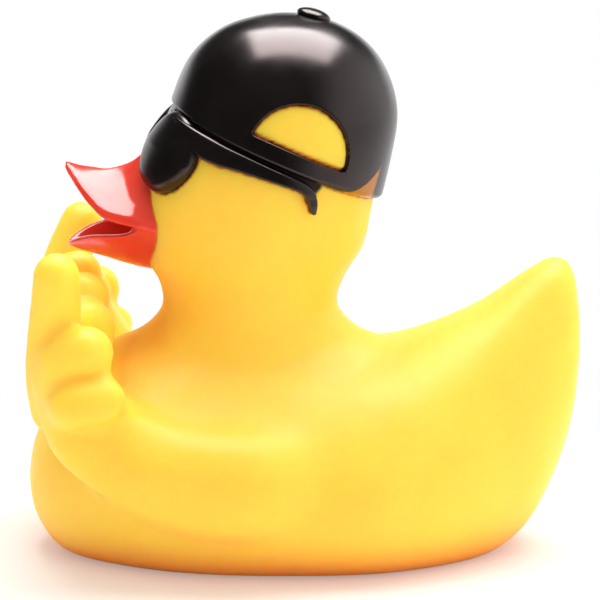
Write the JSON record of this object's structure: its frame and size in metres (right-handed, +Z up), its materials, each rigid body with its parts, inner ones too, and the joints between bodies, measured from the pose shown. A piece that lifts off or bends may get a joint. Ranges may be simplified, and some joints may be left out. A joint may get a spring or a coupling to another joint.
{
  "type": "rubber duck",
  "caption": "Hollow cast-vinyl bath duck on a flat base, with an open bill, sunglasses, a peaked cap turned sideways and raised fists with a finger up.",
  "frame": {"origin": "middle of the flat base, on the surface that the duck stands on", "axes": "+X where the duck looks, +Y its left side, +Z up"},
  "size_m": [0.0864, 0.0618, 0.0848],
  "materials": {
    "yellow_vinyl": "soft satin, slightly translucent, no texture",
    "black_paint": "glossy sprayed paint, thin and brown along its edges",
    "red_paint": "glossy sprayed paint"
  },
  "bodies": {
    "root": {"duck": "yellow_vinyl"}
  },
  "joints": []
}
